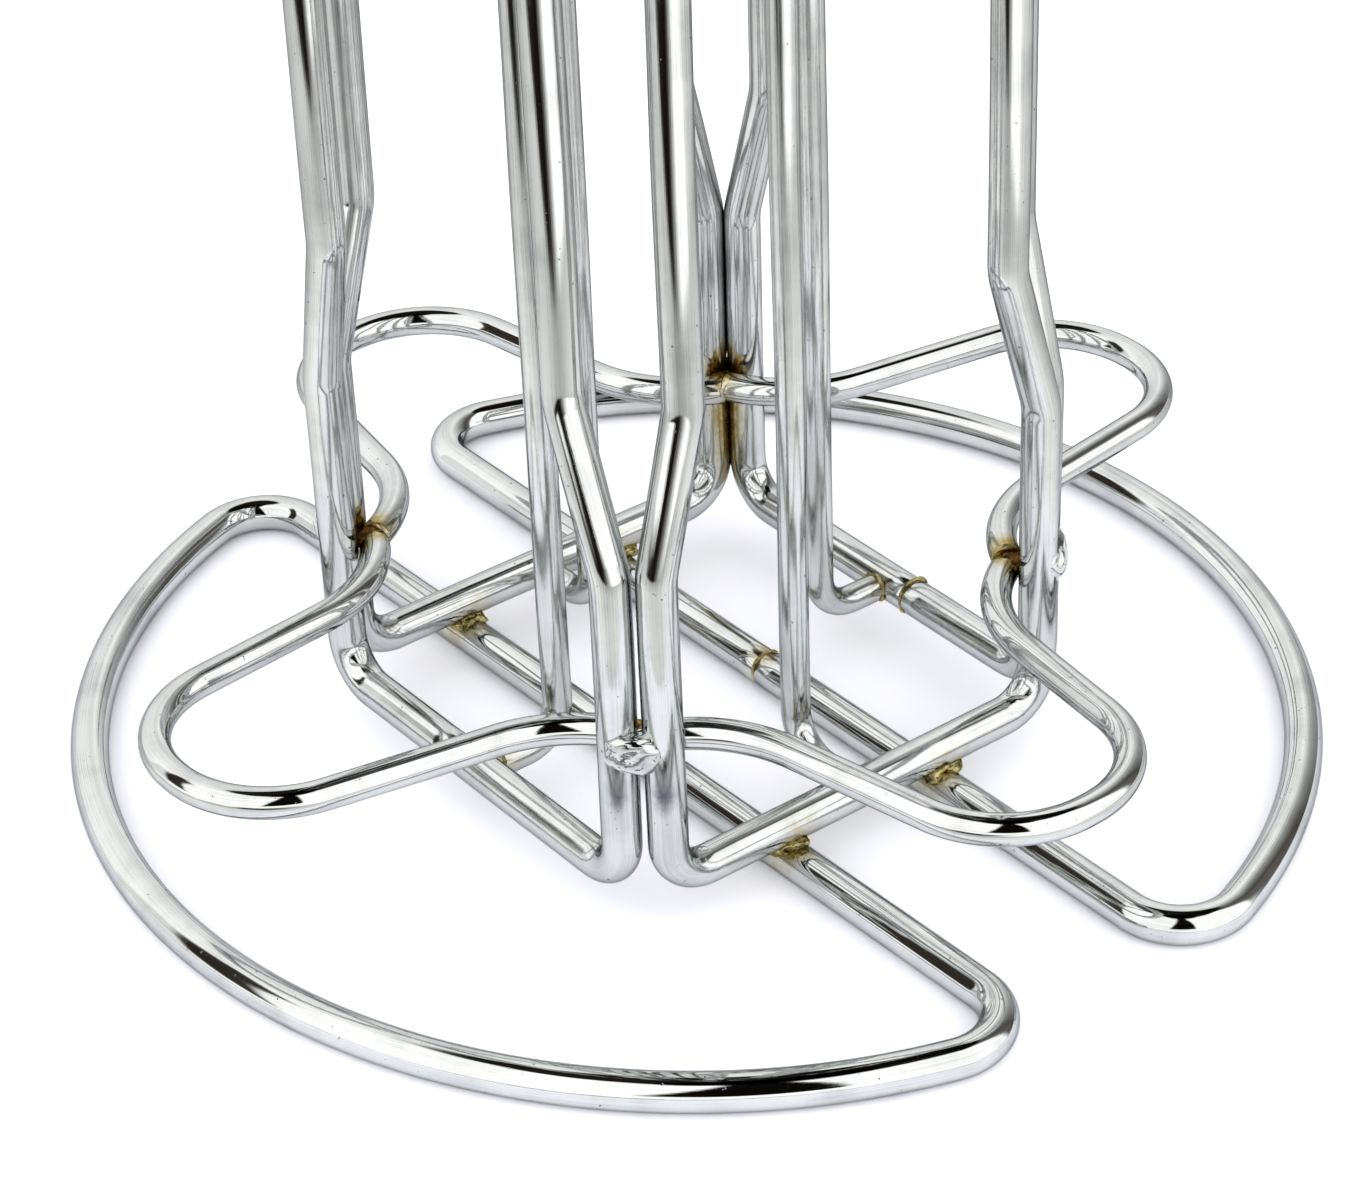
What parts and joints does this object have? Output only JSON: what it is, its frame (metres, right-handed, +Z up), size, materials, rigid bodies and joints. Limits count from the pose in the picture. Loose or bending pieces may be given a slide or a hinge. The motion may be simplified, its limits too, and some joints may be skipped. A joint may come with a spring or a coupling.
{
  "type": "coffee pod tower",
  "caption": "Free-standing tower bent from chromed wire that holds coffee pods in four columns, with looped trays at the foot and an arched handle on top",
  "frame": {"origin": "on the floor at the middle of the base", "axes": "+Z up the tower, X along the straight chords of the two floor loops, Y across them"},
  "size_m": [0.161, 0.1614, 0.3519],
  "materials": {
    "chrome_wire": "bright plated steel wire with faint draw lines",
    "plated_bead": "plated weld bead, lumpy and slightly dull",
    "straw_bead": "weld bead with straw-coloured heat tint",
    "brown_bead": "weld bead with brown heat tint"
  },
  "bodies": {
    "root": {"base_loop_front": "chrome_wire", "base_loop_rear": "chrome_wire", "frame_wire_right": "chrome_wire", "frame_wire_left": "chrome_wire", "tray_lobe_front_left": "chrome_wire", "tray_lobe_front_right": "chrome_wire", "tray_lobe_back_right": "chrome_wire", "tray_lobe_back_left": "chrome_wire", "handle_wire_cross": "chrome_wire", "handle_wire_main": "chrome_wire", "pair_weld_front": "plated_bead", "pair_weld_right": "plated_bead", "pair_weld_back": "plated_bead", "pair_weld_left": "plated_bead", "lobe_weld_front": "brown_bead", "lobe_weld_right": "brown_bead", "lobe_weld_back": "brown_bead", "lobe_weld_left": "brown_bead", "crossing_weld_front_left": "straw_bead", "crossing_weld_front_right": "straw_bead", "crossing_weld_rear_right": "straw_bead", "crossing_weld_rear_left": "straw_bead", "foot_weld_front_left": "straw_bead", "foot_weld_front_right": "straw_bead", "foot_weld_back_right": "straw_bead", "foot_weld_back_left": "straw_bead", "seam_weld_front_left_bar": "plated_bead", "seam_weld_back_right_bar": "straw_bead", "seam_weld_front_loop": "straw_bead", "seam_weld_rear_loop": "straw_bead", "handle_weld": "plated_bead"}
  },
  "joints": []
}
